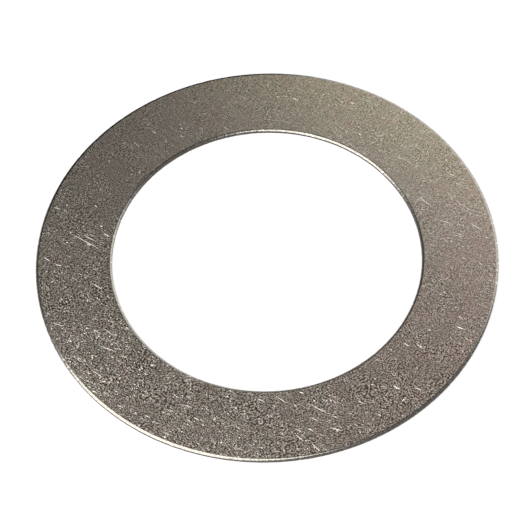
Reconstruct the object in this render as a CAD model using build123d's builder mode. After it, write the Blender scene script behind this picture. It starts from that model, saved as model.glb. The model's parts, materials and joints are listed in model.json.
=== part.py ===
from build123d import *
import os

# A shim ring stamped from thin steel strip, lying flat on its lower face.
# Millimetres, +Z up. The origin is on the ring's axis, in its lower face.

# The annulus.
outer_diameter = 60.0
bore_diameter = 40.2
thickness = 0.5

# The punch draws the upper corners of both edges down into a soft roll. The roll runs off
# the face at a tangent and meets the upright wall of the edge at a crease.
roll_width = 0.36
roll_drop = 0.2

# The lower corners, where the strip broke free, are only deburred.
deburr_radius = 0.05

outer_radius = outer_diameter / 2
bore_radius = bore_diameter / 2
wall_top = thickness - roll_drop

# The section, on one side of the axis: X is the distance from the axis, Z is the height.
outer_wall_foot = (outer_radius, 0)
outer_wall_head = (outer_radius, wall_top)
face_outer_rim = (outer_radius - roll_width, thickness)
face_inner_rim = (bore_radius + roll_width, thickness)
bore_wall_head = (bore_radius, wall_top)
bore_wall_foot = (bore_radius, 0)

with BuildPart() as shim_ring:
    with BuildSketch(Plane.XZ) as section:
        with BuildLine():
            Line(bore_wall_foot, outer_wall_foot)
            Line(outer_wall_foot, outer_wall_head)
            TangentArc(face_outer_rim, outer_wall_head, tangent=(1, 0))
            Line(face_outer_rim, face_inner_rim)
            TangentArc(face_inner_rim, bore_wall_head, tangent=(-1, 0))
            Line(bore_wall_head, bore_wall_foot)
        make_face()
        fillet(section.vertices().group_by(Axis.Y)[0], radius=deburr_radius)
    revolve(axis=Axis.Z)

shim_ring.part.label = "shim_ring"

os.makedirs("parts", exist_ok=True)
export_step(shim_ring.part, "parts/shim_ring.step")
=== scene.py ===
import json
import math
import random

import bpy
import numpy as np
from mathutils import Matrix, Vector
from mathutils.geometry import delaunay_2d_cdt


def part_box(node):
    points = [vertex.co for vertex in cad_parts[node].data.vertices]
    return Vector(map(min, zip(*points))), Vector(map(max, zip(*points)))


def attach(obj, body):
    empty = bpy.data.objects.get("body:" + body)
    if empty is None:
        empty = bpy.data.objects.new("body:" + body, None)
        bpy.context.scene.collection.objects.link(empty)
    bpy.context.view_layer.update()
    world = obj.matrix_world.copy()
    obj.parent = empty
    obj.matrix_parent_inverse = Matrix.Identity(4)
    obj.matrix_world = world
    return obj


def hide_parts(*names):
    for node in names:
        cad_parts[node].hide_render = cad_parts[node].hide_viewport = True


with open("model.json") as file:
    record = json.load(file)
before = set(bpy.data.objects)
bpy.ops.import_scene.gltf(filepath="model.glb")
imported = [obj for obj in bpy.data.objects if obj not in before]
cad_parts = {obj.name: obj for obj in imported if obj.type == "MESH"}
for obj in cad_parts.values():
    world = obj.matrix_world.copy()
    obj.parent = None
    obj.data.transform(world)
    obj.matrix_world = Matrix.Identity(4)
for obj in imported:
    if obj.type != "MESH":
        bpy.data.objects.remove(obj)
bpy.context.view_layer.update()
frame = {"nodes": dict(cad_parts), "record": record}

# The dressed shim ring: its own mesh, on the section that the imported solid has, with the
# scratches, pits and nicks that the solid leaves out. Metres, +Z up, as in the frame.

MM = 0.001
NODE = "shim_ring"
SEED = 11


# ---------------------------------------------------------------- the ring's section

def section_sizes():
    """The sizes of the ring's section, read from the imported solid's own mesh."""
    low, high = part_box(NODE)
    points = np.array([v.co for v in frame["nodes"][NODE].data.vertices])
    radius = np.hypot(points[:, 0], points[:, 1])
    height = points[:, 2]
    hair = 0.0005 * MM
    bore = next(m for m in frame["record"]["mounts"] if m["kind"] == "bore")
    on_top = radius[height > high.z - hair]
    on_wall = height[radius > high.x - hair]
    on_floor = radius[height < low.z + hair]
    return {
        "outer": high.x,
        "bore": bore["dims"]["r_mm"] * MM,
        "thickness": high.z,
        "face_outer": float(on_top.max()),
        "face_inner": float(on_top.min()),
        "wall_top": float(on_wall.max()),
        "deburr": float(high.x - on_floor.max()),
    }


SIZES = section_sizes()

AROUND = 1440
ROLL_STEPS = 8
WALL_STEPS = 5
DEBURR_STEPS = 3

GROOVES = 200
GROOVE_TRIES = 20 * GROOVES
GROOVE_GAP = 0.16 * MM
RIM_MARGIN = 0.2 * MM
NICKS = 40
EDGE_ROUGHNESS = 0.007 * MM

FACE, ROLL, WALL, GROOVE = range(4)


def roll_arc(rim, wall):
    """Points of the rolled corner, from the face's rim to the top of the wall.

    The arc leaves the face at a tangent, so its centre is straight below the rim.
    """
    reach = wall - rim
    drop = SIZES["thickness"] - SIZES["wall_top"]
    arc_radius = (reach ** 2 + drop ** 2) / (2 * drop)
    full_turn = math.asin(abs(reach) / arc_radius)
    points = []
    for step in range(ROLL_STEPS + 1):
        turn = full_turn * step / ROLL_STEPS
        out = math.copysign(arc_radius * math.sin(turn), reach)
        down = arc_radius * (1 - math.cos(turn))
        points.append((rim + out, SIZES["thickness"] - down))
    return points


def deburr_arc(wall, inward):
    """Points of the lower corner, from the foot of the wall to the lower face."""
    corner = SIZES["deburr"]
    points = []
    for step in range(DEBURR_STEPS + 1):
        turn = math.pi / 2 * step / DEBURR_STEPS
        points.append((wall + inward * corner * (1 - math.cos(turn)), corner * (1 - math.sin(turn))))
    return points


def edge_profile(rim, wall, inward):
    """(radius, height, kind) down one edge of the ring, from the upper to the lower face."""
    profile = [(r, z, ROLL) for r, z in roll_arc(rim, wall)]
    foot = SIZES["deburr"]
    for step in range(1, WALL_STEPS):
        z = SIZES["wall_top"] + (foot - SIZES["wall_top"]) * step / WALL_STEPS
        profile.append((wall, z, WALL))
    profile += [(r, z, WALL) for r, z in deburr_arc(wall, inward)]
    return profile


# ---------------------------------------------------------------- mesh building

class MeshMaker:
    """Collects points and faces, each face with the number of its material."""

    def __init__(self):
        self.points = []
        self.faces = []
        self.kinds = []

    def circle(self, radius, height, ragged=None):
        """Adds one ring of points, with a change of radius at each, and returns their numbers."""
        first = len(self.points)
        for step in range(AROUND):
            angle = 2 * math.pi * step / AROUND
            r = radius if ragged is None else radius + ragged[step]
            self.points.append((r * math.cos(angle), r * math.sin(angle), height))
        return list(range(first, first + AROUND))

    def band(self, upper, lower, kind, outward):
        """Joins two rings of points with a band of quads that faces outward or inward."""
        for step in range(AROUND):
            after = (step + 1) % AROUND
            quad = (upper[step], lower[step], lower[after], upper[after])
            self.faces.append(quad if outward else quad[::-1])
            self.kinds.append(kind)

    def build(self, name, materials):
        mesh = bpy.data.meshes.new(name)
        mesh.from_pydata(self.points, [], self.faces)
        for material in materials:
            mesh.materials.append(material)
        mesh.polygons.foreach_set("material_index", self.kinds)
        mesh.update()
        piece = bpy.data.objects.new(name, mesh)
        bpy.context.scene.collection.objects.link(piece)
        return piece


def ragged_edge(rng, metal_side):
    """How far the sheared edge stands in or out at each step round it, with a few small nicks.

    metal_side is the sign of the radial direction that leads into the metal.
    """
    rough = [rng.gauss(0, EDGE_ROUGHNESS) for _ in range(AROUND)]
    smooth = [(rough[i - 1] + rough[i]) / 2 for i in range(AROUND)]
    for _ in range(NICKS):
        middle = rng.randrange(AROUND)
        depth = rng.uniform(2, 5) * EDGE_ROUGHNESS
        for offset, share in ((-1, 0.6), (0, 1.0), (1, 0.5)):
            smooth[(middle + offset) % AROUND] += metal_side * depth * share
    return smooth


# ---------------------------------------------------------------- scratches on the face

# The clearest scratches: x and y of the middle, and the length, in mm, and the direction in degrees.
CLEAR_SCRATCHES = (
    (5.5, -23.0, 2.2, -35),
    (5.0, -24.5, 1.1, -35),
    (4.5, -26.0, 0.9, -35),
    (3.0, -26.0, 0.8, -40),
    (3.0, -27.0, 1.4, -45),
    (5.0, -28.5, 1.6, -50),
    (1.0, -21.5, 1.8, -40),
    (-1.5, -21.5, 1.1, -35),
    (7.5, -26.0, 1.8, -20),
    (25.0, 11.5, 1.1, -40),
    (21.0, 7.5, 2.4, -45),
    (23.5, 4.0, 1.9, -25),
    (27.5, 3.0, 2.2, -40),
    (23.0, 11.0, 0.6, 35),
    (-23.5, 3.5, 4.4, -35),
    (-23.0, 4.0, 2.2, -35),
    (-28.5, 1.0, 1.3, -40),
    (-27.0, 0.0, 0.9, -15),
    (-22.0, -3.5, 1.8, -40),
    (-27.0, -9.0, 1.8, -20),
    (-20.5, -13.0, 2.4, -25),
    (-22.0, -16.5, 2.0, -40),
)


CLEAR_WIDTH = 0.055 * MM
CLEAR_DEPTH = 0.008 * MM

# The places along a groove, from end to end, and the share of its full width and depth at each.
GROOVE_SHAPE = ((-0.5, 0.0), (-0.28, 0.8), (0.0, 1.0), (0.28, 0.8), (0.5, 0.0))


def heading(angle):
    return Vector((math.cos(angle), math.sin(angle)))


def clear_grooves():
    """The clearest scratches, as (centre, direction, length, width, depth)."""
    grooves = []
    for x, y, length, degrees in CLEAR_SCRATCHES:
        centre = Vector((x, y)) * MM
        grooves.append((centre, heading(math.radians(degrees)), length * MM, CLEAR_WIDTH, CLEAR_DEPTH))
    return grooves


def random_groove(rng, inner, outer):
    """A scratch, or now and then a short pit, as (centre, direction, length, width)."""
    radius = math.sqrt(rng.uniform(inner ** 2, outer ** 2))
    angle = rng.uniform(0, 2 * math.pi)
    centre = Vector((radius * math.cos(angle), radius * math.sin(angle)))
    crossing = rng.random() < 0.12
    direction = math.radians(rng.gauss(45, 12) if crossing else rng.gauss(-36, 9))
    length = min(rng.lognormvariate(-0.5, 0.5), 3.0) * MM
    width = rng.uniform(0.04, 0.08) * MM
    if rng.random() < 0.4:
        length = rng.uniform(0.1, 0.2) * MM
        width = rng.uniform(0.06, 0.11) * MM
    return centre, heading(direction), length, width


def scatter_grooves(rng):
    """All grooves of the upper face: the clearest scratches, and random ones that touch no other."""
    grooves = clear_grooves()
    inner = SIZES["face_inner"] + RIM_MARGIN
    outer = SIZES["face_outer"] - RIM_MARGIN
    tries = 0
    while len(grooves) < GROOVES and tries < GROOVE_TRIES:
        tries += 1
        centre, along, length, width = random_groove(rng, inner, outer)
        ends = [centre - along * length / 2, centre + along * length / 2]
        if any(not inner < end.length < outer for end in ends):
            continue
        if any(near(centre, along, length, other) for other in grooves):
            continue
        grooves.append((centre, along, length, width, rng.uniform(0.08, 0.2) * width))
    return grooves


def near(centre, along, length, other):
    """Whether a new scratch would touch one that is already there."""
    other_centre, other_along, other_length = other[:3]
    if (centre - other_centre).length > (length + other_length) / 2 + GROOVE_GAP:
        return False
    steps = 9
    for step in range(steps):
        point = centre + along * length * (step / (steps - 1) - 0.5)
        offset = point - other_centre
        reach = max(-other_length / 2, min(other_length / 2, offset.dot(other_along)))
        if (offset - other_along * reach).length < GROOVE_GAP:
            return True
    return False


class UpperFace:
    """The upper face from above: points in mm, their numbers in the ring's mesh, and the edges to keep."""

    def __init__(self, maker, outer_rim, bore_rim):
        self.maker = maker
        self.numbers = outer_rim + bore_rim
        self.bore = range(bore_rim[0], bore_rim[0] + AROUND)
        self.flat = [Vector(maker.points[i][:2]) * (1 / MM) for i in self.numbers]
        self.edges = []
        for first in (0, AROUND):
            self.edges += [(first + i, first + (i + 1) % AROUND) for i in range(AROUND)]

    def add_point(self, spot, height):
        """Adds a new point to the mesh, and returns its number on this face."""
        self.flat.append(spot * (1 / MM))
        self.numbers.append(len(self.maker.points))
        self.maker.points.append((spot.x, spot.y, height))
        return len(self.flat) - 1

    def add_groove(self, centre, along, length, width, depth):
        """Cuts in one V groove, pointed at both ends and deepest halfway."""
        top = SIZES["thickness"]
        across = Vector((-along.y, along.x))
        rows = ([], [], [])
        for station, share in GROOVE_SHAPE:
            spot = centre + along * length * station
            if share == 0:
                tip = self.add_point(spot, top)
                for row in rows:
                    row.append(tip)
                continue
            for row, side in zip(rows, (1, 0, -1)):
                place = spot + across * side * share * width / 2
                row.append(self.add_point(place, top if side else top - share * depth))
        for row in rows:
            self.edges += list(zip(row[:-1], row[1:]))

    def fill(self):
        """Gives the mesh the face's triangles, with the bore left open."""
        top = SIZES["thickness"]
        result = delaunay_2d_cdt(self.flat, self.edges, [], 0, 1e-7)
        faces, sources = result[2:4]
        assert all(len(source) == 1 for source in sources)
        for face in faces:
            corners = [self.numbers[sources[i][0]] for i in face]
            if all(i in self.bore for i in corners):
                continue
            lowest = min(self.maker.points[i][2] for i in corners)
            self.maker.faces.append(corners)
            self.maker.kinds.append(GROOVE if lowest < top - 1e-9 else FACE)


def add_upper_face(maker, outer_rim, bore_rim, grooves):
    """Fills the upper face between its two rims, with each scratch cut in as a real groove."""
    face = UpperFace(maker, outer_rim, bore_rim)
    for groove in grooves:
        face.add_groove(*groove)
    face.fill()


def make_ring(materials):
    rng = random.Random(SEED)
    maker = MeshMaker()
    outer = edge_profile(SIZES["face_outer"], SIZES["outer"], -1)
    inner = edge_profile(SIZES["face_inner"], SIZES["bore"], 1)
    rings = []
    for profile, outward in ((outer, True), (inner, False)):
        rim_radius, rim_height, _ = profile[0]
        circles = [maker.circle(rim_radius, rim_height)]
        ragged = ragged_edge(rng, -1 if outward else 1)
        circles += [maker.circle(r, z, ragged) for r, z, _ in profile[1:]]
        for upper, lower, (_, _, kind) in zip(circles[:-1], circles[1:], profile[1:]):
            maker.band(upper, lower, kind, outward)
        rings.append((circles[0], circles[-1]))
    (outer_top, outer_foot), (inner_top, inner_foot) = rings
    maker.band(outer_foot, inner_foot, FACE, True)
    add_upper_face(maker, outer_top, inner_top, scatter_grooves(rng))
    piece = maker.build("ring", materials)
    mesh = piece.data
    mesh.polygons.foreach_set("use_smooth", [kind in (ROLL, WALL) for kind in maker.kinds])
    return piece


# ---------------------------------------------------------------- materials

class Graph:
    """Short calls that add and join the nodes of one material."""

    def __init__(self, name):
        self.material = bpy.data.materials.new(name)
        self.material.use_nodes = True
        self.tree = self.material.node_tree
        self.shader = self.tree.nodes["Principled BSDF"]

    def add(self, kind, inputs=None, **settings):
        node = self.tree.nodes.new(kind)
        for name, value in settings.items():
            setattr(node, name, value)
        for name, value in (inputs or {}).items():
            self.feed(value, node.inputs[name])
        return node

    def feed(self, value, socket):
        if isinstance(value, bpy.types.NodeSocket):
            self.tree.links.new(value, socket)
        else:
            socket.default_value = value

    def math(self, operation, first, second=0.0):
        node = self.add("ShaderNodeMath", {0: first, 1: second}, operation=operation)
        return node.outputs[0]

    def plus(self, *values):
        total = values[0]
        for value in values[1:]:
            total = self.math("ADD", total, value)
        return total

    def times(self, first, second):
        return self.math("MULTIPLY", first, second)

    def vector(self, operation, *values):
        inputs = dict(enumerate(values))
        return self.add("ShaderNodeVectorMath", inputs, operation=operation).outputs[0]

    def scaled(self, vector, factor):
        return self.add("ShaderNodeVectorMath", {0: vector, "Scale": factor}, operation="SCALE").outputs[0]

    def ramp(self, value, low, high, to_low=0.0, to_high=1.0):
        """Smooth step of a value, from low to high."""
        inputs = {"Value": value, "From Min": low, "From Max": high, "To Min": to_low, "To Max": to_high}
        node = self.add("ShaderNodeMapRange", inputs, interpolation_type="SMOOTHSTEP")
        return node.outputs["Result"]

    def mix(self, share, first, second):
        node = self.add("ShaderNodeMix", data_type="RGBA", clamp_factor=True)
        self.feed(share, node.inputs["Factor"])
        self.feed(first, node.inputs["A"])
        self.feed(second, node.inputs["B"])
        return node.outputs["Result"]

    def tint(self, share, colour, tint):
        """The colour times a tint, by a share from 0 to 1."""
        node = self.add("ShaderNodeMix", data_type="RGBA", blend_type="MULTIPLY", clamp_factor=True)
        self.feed(share, node.inputs["Factor"])
        self.feed(colour, node.inputs["A"])
        self.feed(tint, node.inputs["B"])
        return node.outputs["Result"]

    def toward(self, point, degrees, low, high):
        """A share that grows from 0 to 1 between two distances, in mm, in one direction."""
        a = math.radians(degrees)
        inputs = {0: point, 1: (math.cos(a), math.sin(a), 0)}
        along = self.add("ShaderNodeVectorMath", inputs, operation="DOT_PRODUCT").outputs["Value"]
        return self.ramp(along, low, high)

    def place(self):
        """The point on the object, in millimetres."""
        return self.scaled(self.add("ShaderNodeTexCoord").outputs["Object"], 1 / MM)

    def turned(self, point, degrees, stretch, shift=0.0):
        """The point in a frame turned about +Z, with its two axes divided by the stretch."""
        inputs = {
            "Vector": point,
            "Rotation": (0, 0, math.radians(degrees)),
            "Scale": (*stretch, 1),
            "Location": (shift, shift * 1.7, 0),
        }
        return self.add("ShaderNodeMapping", inputs, vector_type="TEXTURE").outputs[0]

    def noise(self, point, scale, detail=2.0, roughness=0.5):
        inputs = {"Vector": point, "Scale": scale, "Detail": detail, "Roughness": roughness}
        return self.add("ShaderNodeTexNoise", inputs, noise_dimensions="2D")

    def cells(self, point, degrees, size, shift=0.0):
        """Small cells of one size and direction: the node's Color is random from cell to cell."""
        spot = self.turned(point, degrees, size, shift)
        return self.add("ShaderNodeTexVoronoi", {"Vector": spot, "Scale": 1.0}, voronoi_dimensions="2D")

    def chance(self, cells):
        """A random number from 0 to 1 for each cell."""
        return self.add("ShaderNodeSeparateColor", {"Color": cells.outputs["Color"]}).outputs[0]

    def flecks(self, point, degrees, size, kept, soft=0.5, shift=0.0):
        """Short streaks of one size and direction, scattered at random, each of its own strength.

        size is the largest (length, width) in mm, and kept the share of the places that hold one.
        """
        reach = 0.3
        cells = self.cells(point, degrees, (size[0] / (2 * reach), size[1] / (2 * reach)), shift)
        strength = self.ramp(self.chance(cells), 1 - kept, 1.0)
        body = self.ramp(cells.outputs["Distance"], reach * soft, reach, 1.0, 0.0)
        return self.times(body, self.times(strength, strength))

    def specks(self, point, degrees, size, shift=0.0):
        """A speck in every small cell, most of them faint and a few bright."""
        cells = self.cells(point, degrees, size, shift)
        body = self.ramp(cells.outputs["Distance"], 0.08, 0.5, 1.0, 0.0)
        strength = self.math("POWER", self.chance(cells), 4.0)
        return self.times(body, strength)

    def pits(self, point, degrees, size):
        """An even, closely packed grain: a soft spot in every small cell."""
        cells = self.cells(point, degrees, size)
        return self.ramp(cells.outputs["Distance"], 0.1, 0.6, 1.0, 0.0)

    def leaning(self, point, degrees, size, lean, shift=0.0):
        """A sideways lean of each small facet of the metal: mostly little, and now and then far."""
        colour = self.cells(point, degrees, size, shift).outputs["Color"]
        way = self.vector("MULTIPLY_ADD", colour, (2, 2, 2), (-1, -1, -1))
        cubed = self.vector("MULTIPLY", self.vector("MULTIPLY", way, way), way)
        return self.vector("MULTIPLY", cubed, (lean, lean, 0))

    def tilted(self, *leans):
        """The surface's normal with the leans added."""
        normal = self.add("ShaderNodeNewGeometry").outputs["Normal"]
        for lean in leans:
            normal = self.vector("ADD", normal, lean)
        return self.vector("NORMALIZE", normal)

    def wear_and_glint(self, point):
        """How strong the face's grain and scratches are, from place to place: partly real wear and partly
        painted glint, most at the front left, on the window lamp's side.
        """
        # Painted glint: the rise toward the front left, on the window lamp's side, stands in for its
        # glints on the grain and scratches.
        side = self.ramp(self.toward(point, 243, -28.0, 27.0), 0.0, 1.0, 0.54, 1.2)
        patchy = self.ramp(self.noise(point, 0.3, 2.0).outputs["Fac"], 0.35, 0.65, 0.75, 1.1)
        return self.times(side, patchy)

    def finish(self, colour, roughness, height=None, depth=0.0, normal=None):
        self.feed(colour, self.shader.inputs["Base Color"])
        self.feed(roughness, self.shader.inputs["Roughness"])
        self.shader.inputs["Metallic"].default_value = 1.0
        if height is not None:
            bump = self.add("ShaderNodeBump", {"Height": height, "Distance": depth * MM, "Strength": 1.0})
            if normal is not None:
                self.feed(normal, bump.inputs["Normal"])
            self.feed(bump.outputs[0], self.shader.inputs["Normal"])
        return self.material


# The grain's direction in degrees, and the share of wear and painted glint at which the grain and
# scratches are weakest and strongest.
GRAIN_ANGLE = -31
WEAR_AND_GLINT_RANGE = (0.3, 1.25)

DULL_STEEL = (0.323, 0.281, 0.234, 1)
DARK_STEEL = (0.081, 0.07, 0.059, 1)
PALE_STEEL = (0.566, 0.492, 0.41, 1)
# Partly bare, clean metal, and partly painted glints of the lamps on scratches and specks.
BARE_STEEL_AND_GLINT = (0.92, 0.89, 0.82, 1)
# Near black: partly the torn wall's own dark steel and partly painted shade, for the contact shadow by the
# wall and for the dark reflection on the rolled corners at the back left.
TARNISH_AND_PAINTED_SHADE = (0.03, 0.026, 0.022, 1)

# Thin films of oil and tarnish, as factors on the metal's colour.
BROWN_FILM = (1.035, 0.965, 0.965, 1)
OLIVE_FILM = (1.01, 1.02, 0.92, 1)
PINK_FILM = (1.025, 0.98, 1.0, 1)
GREEN_FILM = (0.98, 1.01, 0.995, 1)


def fine_marks_and_glints(g, bent):
    """Hairlines, short scratches and specks, most of them near the grain's direction: partly real
    scratches, and partly painted glints laid in the colour where the lamps make them shine.
    """
    dots = g.ramp(g.chance(g.cells(bent, 10, (0.15, 0.15), 2.2)), 0.3, 0.6)
    return g.plus(
        g.times(g.flecks(bent, -33, (6.0, 0.06), 0.14, shift=6.6), 0.6),
        g.times(g.flecks(bent, 40, (5.0, 0.06), 0.06, shift=2.9), 0.5),
        g.times(g.flecks(bent, -30, (2.8, 0.065), 0.13), dots),
        g.times(g.flecks(bent, -36, (0.9, 0.06), 0.14, shift=3.1), 0.9),
        g.times(g.flecks(bent, -26, (0.4, 0.07), 0.22, shift=7.7), 1.1),
        g.times(g.flecks(bent, 42, (0.7, 0.06), 0.06, shift=5.2), 0.7),
        g.times(g.specks(bent, GRAIN_ANGLE, (0.24, 0.19), 1.3), 0.311),
    )


def under_film(g, point, colour):
    """The colour as seen through thin films of oil and tarnish."""
    blotch = g.noise(point, 0.45, 1.0).outputs["Fac"]
    colour = g.tint(g.toward(point, -30, 6.0, 28.0), colour, BROWN_FILM)
    colour = g.tint(g.toward(point, 62, 12.0, 29.0), colour, OLIVE_FILM)
    colour = g.tint(g.ramp(blotch, 0.55, 0.7), colour, PINK_FILM)
    return g.tint(g.ramp(blotch, 0.45, 0.3), colour, GREEN_FILM)


def face_steel():
    """Dull cold-rolled strip: a fine grain, strongest toward the front left, partly from wear and partly
    as painted glint, under scratches and specks that are partly painted glints.
    """
    g = Graph("face_steel")
    point = g.place()
    sway = g.scaled(g.noise(point, 0.12, 1.0).outputs["Color"], 2.6)
    bent = g.vector("ADD", point, sway)

    grit = g.pits(bent, GRAIN_ANGLE, (0.252, 0.214))
    drawn = g.chance(g.cells(bent, -33, (0.45, 0.1), 4.0))
    cloud = g.noise(g.turned(bent, GRAIN_ANGLE, (0.9, 0.4), 4.0), 1.0, 2.0, 0.6).outputs["Fac"]
    patch = g.noise(point, 0.22, 2.0).outputs["Fac"]
    wear_and_glint = g.wear_and_glint(point)
    marks_and_glints = g.times(fine_marks_and_glints(g, bent), g.ramp(wear_and_glint, *WEAR_AND_GLINT_RANGE, 0.675, 1.62))

    grain = g.plus(g.times(grit, 7.355), g.times(drawn, 0.2), g.times(cloud, 0.45))
    colour = g.mix(g.ramp(grain, 2.399, 3.399), DARK_STEEL, PALE_STEEL)
    # Partly painted glint: the grain's contrast grows toward the front left, where the window lamp's
    # glints fall.
    colour = g.mix(g.ramp(wear_and_glint, *WEAR_AND_GLINT_RANGE, 0.72, 0.0), colour, DULL_STEEL)
    colour = g.mix(g.ramp(patch, 0.35, 0.65, 0.0, 0.15), colour, DULL_STEEL)
    # Painted glints: bright scratches and specks laid in the colour, more of them toward the front left.
    colour = g.mix(marks_and_glints, colour, BARE_STEEL_AND_GLINT)
    rough = g.ramp(marks_and_glints, 0.0, 1.0, 0.36, 0.25)
    height = g.plus(g.times(cloud, 0.6), g.times(marks_and_glints, -0.5))
    lean = g.vector("MULTIPLY", g.leaning(bent, GRAIN_ANGLE, (0.14, 0.1), 0.16, 6.3), wear_and_glint)
    return g.finish(under_film(g, point, colour), rough, height, 0.004, g.tilted(lean))


def roll_steel():
    """The rolled corners, rubbed smooth by handling, and darkened at the back left with painted shade: a
    dark colour in place of the dark surroundings they reflect there.
    """
    g = Graph("roll_steel")
    point = g.place()
    grain = g.noise(point, 4.0, 3.0, 0.6).outputs["Fac"]
    nicks = g.flecks(point, -30, (0.5, 0.2), 0.3)
    colour = g.mix(g.ramp(grain, 0.3, 0.7), (0.22, 0.2, 0.175, 1), (0.34, 0.32, 0.285, 1))
    colour = g.mix(nicks, colour, (0.6, 0.57, 0.52, 1))
    # Painted shade: the corners at the back left are darkened in their colour, standing in for the dark
    # reflection they show there.
    colour = g.mix(g.toward(point, 120, 18.0, 27.0), colour, TARNISH_AND_PAINTED_SHADE)
    return g.finish(colour, 0.24, grain, 0.006)


def wall_steel():
    """The upright wall, where the strip was sheared and torn: rough, and near black, partly as torn, dirty
    steel and partly as painted shade in place of the contact shadow at the ring's foot.
    """
    g = Graph("wall_steel")
    point = g.place()
    grain = g.noise(point, 5.0, 3.0, 0.7).outputs["Fac"]
    # Partly painted shade: the near-black colour also stands in for the contact shadow beside the wall's
    # foot.
    colour = g.mix(g.ramp(grain, 0.35, 0.65), TARNISH_AND_PAINTED_SHADE, (0.1, 0.085, 0.07, 1))
    return g.finish(colour, 0.5, grain, 0.03)


def scratch_steel():
    """Fresh metal laid bare in the deeper scratches."""
    g = Graph("scratch_steel")
    grain = g.noise(g.place(), 3.0, 2.0).outputs["Fac"]
    colour = g.mix(grain, (0.5, 0.47, 0.42, 1), (0.9, 0.87, 0.8, 1))
    return g.finish(colour, 0.3)


materials = [face_steel(), roll_steel(), wall_steel(), scratch_steel()]

ring = make_ring(materials)
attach(ring, "root")
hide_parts(NODE)


# ---------------------------------------------------------------- floor, light and camera

# Metres.
FLOOR_RADIUS = 2.2
FLOOR_SWEEP = 0.45
FLOOR_SIDES = 96
SWEEP_STEPS = 8


def floor_white():
    """White paper. What the camera and the metal see of it is mostly plain white."""
    material = bpy.data.materials.new("floor_white")
    material.use_nodes = True
    tree = material.node_tree
    tree.nodes.remove(tree.nodes["Principled BSDF"])
    paper = tree.nodes.new("ShaderNodeBsdfDiffuse")
    paper.inputs["Color"].default_value = (0.9, 0.9, 0.9, 1)
    glow = tree.nodes.new("ShaderNodeEmission")
    glow.inputs["Strength"].default_value = 1.0
    path = tree.nodes.new("ShaderNodeLightPath")
    seen = path.outputs["Is Camera Ray"]
    for kind in ("Is Glossy Ray", "Is Transmission Ray"):
        either = tree.nodes.new("ShaderNodeMath")
        either.operation = "MAXIMUM"
        tree.links.new(seen, either.inputs[0])
        tree.links.new(path.outputs[kind], either.inputs[1])
        seen = either.outputs[0]
    share = tree.nodes.new("ShaderNodeMath")
    share.operation = "MULTIPLY"
    share.inputs[1].default_value = 0.8
    mix = tree.nodes.new("ShaderNodeMixShader")
    tree.links.new(seen, share.inputs[0])
    tree.links.new(share.outputs[0], mix.inputs[0])
    tree.links.new(paper.outputs[0], mix.inputs[1])
    tree.links.new(glow.outputs[0], mix.inputs[2])
    tree.links.new(mix.outputs[0], tree.nodes["Material Output"].inputs["Surface"])
    return material


def make_floor():
    """A flat round floor whose rim sweeps up into a low backdrop."""
    profile = [(0.0, 0.0), (FLOOR_RADIUS, 0.0)]
    for step in range(1, SWEEP_STEPS + 1):
        turn = math.pi / 2 * step / SWEEP_STEPS
        profile.append((FLOOR_RADIUS + FLOOR_SWEEP * math.sin(turn), FLOOR_SWEEP * (1 - math.cos(turn))))
    points, faces = [], []
    for radius, height in profile[1:]:
        for step in range(FLOOR_SIDES):
            angle = 2 * math.pi * step / FLOOR_SIDES
            points.append((radius * math.cos(angle), radius * math.sin(angle), height))
    faces.append(tuple(range(FLOOR_SIDES)))
    for row in range(len(profile) - 2):
        for step in range(FLOOR_SIDES):
            low, after = row * FLOOR_SIDES, (step + 1) % FLOOR_SIDES
            faces.append((low + step, low + FLOOR_SIDES + step, low + FLOOR_SIDES + after, low + after))
    mesh = bpy.data.meshes.new("floor")
    mesh.from_pydata(points, [], faces)
    mesh.materials.append(floor_white())
    floor = bpy.data.objects.new("floor", mesh)
    bpy.context.scene.collection.objects.link(floor)


def make_lamp(name, azimuth, elevation, distance, width, height, radiance, colour=(1, 1, 1)):
    """A soft panel that looks at the ring's centre, with its brightness given as a radiance."""
    data = bpy.data.lights.new(name, "AREA")
    data.shape = "RECTANGLE"
    data.size = width
    data.size_y = height
    data.energy = radiance * math.pi * width * height
    data.color = colour
    lamp = bpy.data.objects.new(name, data)
    a, e = math.radians(azimuth), math.radians(elevation)
    away = Vector((math.cos(e) * math.cos(a), math.cos(e) * math.sin(a), math.sin(e)))
    lamp.location = away * distance
    lamp.rotation_euler = away.to_track_quat("Z", "Y").to_euler()
    lamp.visible_camera = False
    bpy.context.scene.collection.objects.link(lamp)


def make_lights():
    world = bpy.data.worlds.new("studio")
    bpy.context.scene.world = world
    world.use_nodes = True
    background = world.node_tree.nodes["Background"]
    background.inputs["Color"].default_value = (1, 1, 1, 1)
    background.inputs["Strength"].default_value = 0.12
    make_lamp("window", 219, 43, 0.26, 0.36, 0.50, 3.89)
    make_lamp("back", 48, 29, 0.165, 0.206, 0.156, 1.55)
    make_lamp("right_wall", 40, 16, 0.5, 0.3, 0.22, 0.69, (1, 0.92, 0.82))
    make_lamp("strip", -35, 50, 0.5, 0.5, 0.04, 1.8)


# Degrees, a distance in outer radii, a lens in mm on a 36 mm sensor, and a shift in shares of the frame.
CAMERA_ELEVATION = 56.8
CAMERA_ROLL = 2.66
CAMERA_DISTANCE = 9.69
FOCAL_LENGTH = 152.6
FRAME_SHIFT = (-0.0051, -0.0117)


def make_camera():
    data = bpy.data.cameras.new("camera")
    data.sensor_width = 36
    data.lens = FOCAL_LENGTH
    data.shift_x, data.shift_y = FRAME_SHIFT
    data.clip_start, data.clip_end = 0.01, 10
    camera = bpy.data.objects.new("camera", data)
    e = math.radians(CAMERA_ELEVATION)
    back = Vector((0, -math.cos(e), math.sin(e)))
    camera.location = back * CAMERA_DISTANCE * SIZES["outer"]
    camera.rotation_euler = (math.pi / 2 - e, 0, 0)
    camera.rotation_euler.rotate_axis("Z", -math.radians(CAMERA_ROLL))
    bpy.context.scene.collection.objects.link(camera)
    bpy.context.scene.camera = camera


make_floor()
make_lights()
make_camera()
bpy.context.scene.view_settings.view_transform = "Standard"
